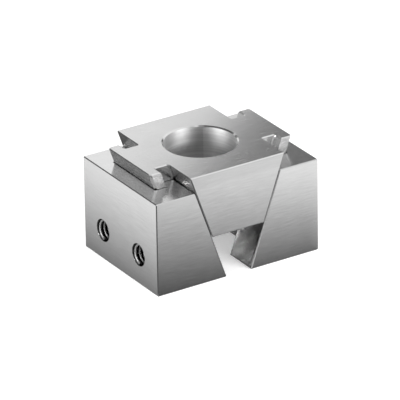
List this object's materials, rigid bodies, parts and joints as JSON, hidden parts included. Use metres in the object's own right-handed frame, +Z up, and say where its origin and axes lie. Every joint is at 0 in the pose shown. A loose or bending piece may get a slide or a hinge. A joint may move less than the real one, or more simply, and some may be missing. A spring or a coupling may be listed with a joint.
{
  "type": "wedge clamp block",
  "caption": "Double-acting wedge clamp: a bored wedge with T rails drives two slotted jaws apart as its screw draws it down.",
  "frame": {"origin": "on the axis of the screw bore, in the plane of the jaws' bases", "axes": "+Z up along the screw bore, +X across the jaws towards the right-hand clamping face, +Y along the wedge towards the back"},
  "size_m": [0.0526, 0.0382, 0.0327],
  "materials": {
    "wedge_steel": "ground",
    "jaw_steel": "ground"
  },
  "bodies": {
    "left_jaw": {"left_jaw": "jaw_steel"},
    "wedge": {"wedge": "wedge_steel"},
    "right_jaw": {"right_jaw": "jaw_steel"}
  },
  "joints": [
    {"name": "wedge_slide", "type": "slide", "parent": "left_jaw", "child": "wedge", "axis": [0.3322, 0, -0.9432], "range_m": [-0.012, 0.01395]},
    {"name": "right_jaw_slide", "type": "slide", "parent": "wedge", "child": "right_jaw", "axis": [0.3322, 0, 0.9432], "range_m": [-0.012, 0.01395]}
  ],
  "couplings": [
    {"joint": "right_jaw_slide", "follows": "wedge_slide", "ratio": 1}
  ]
}
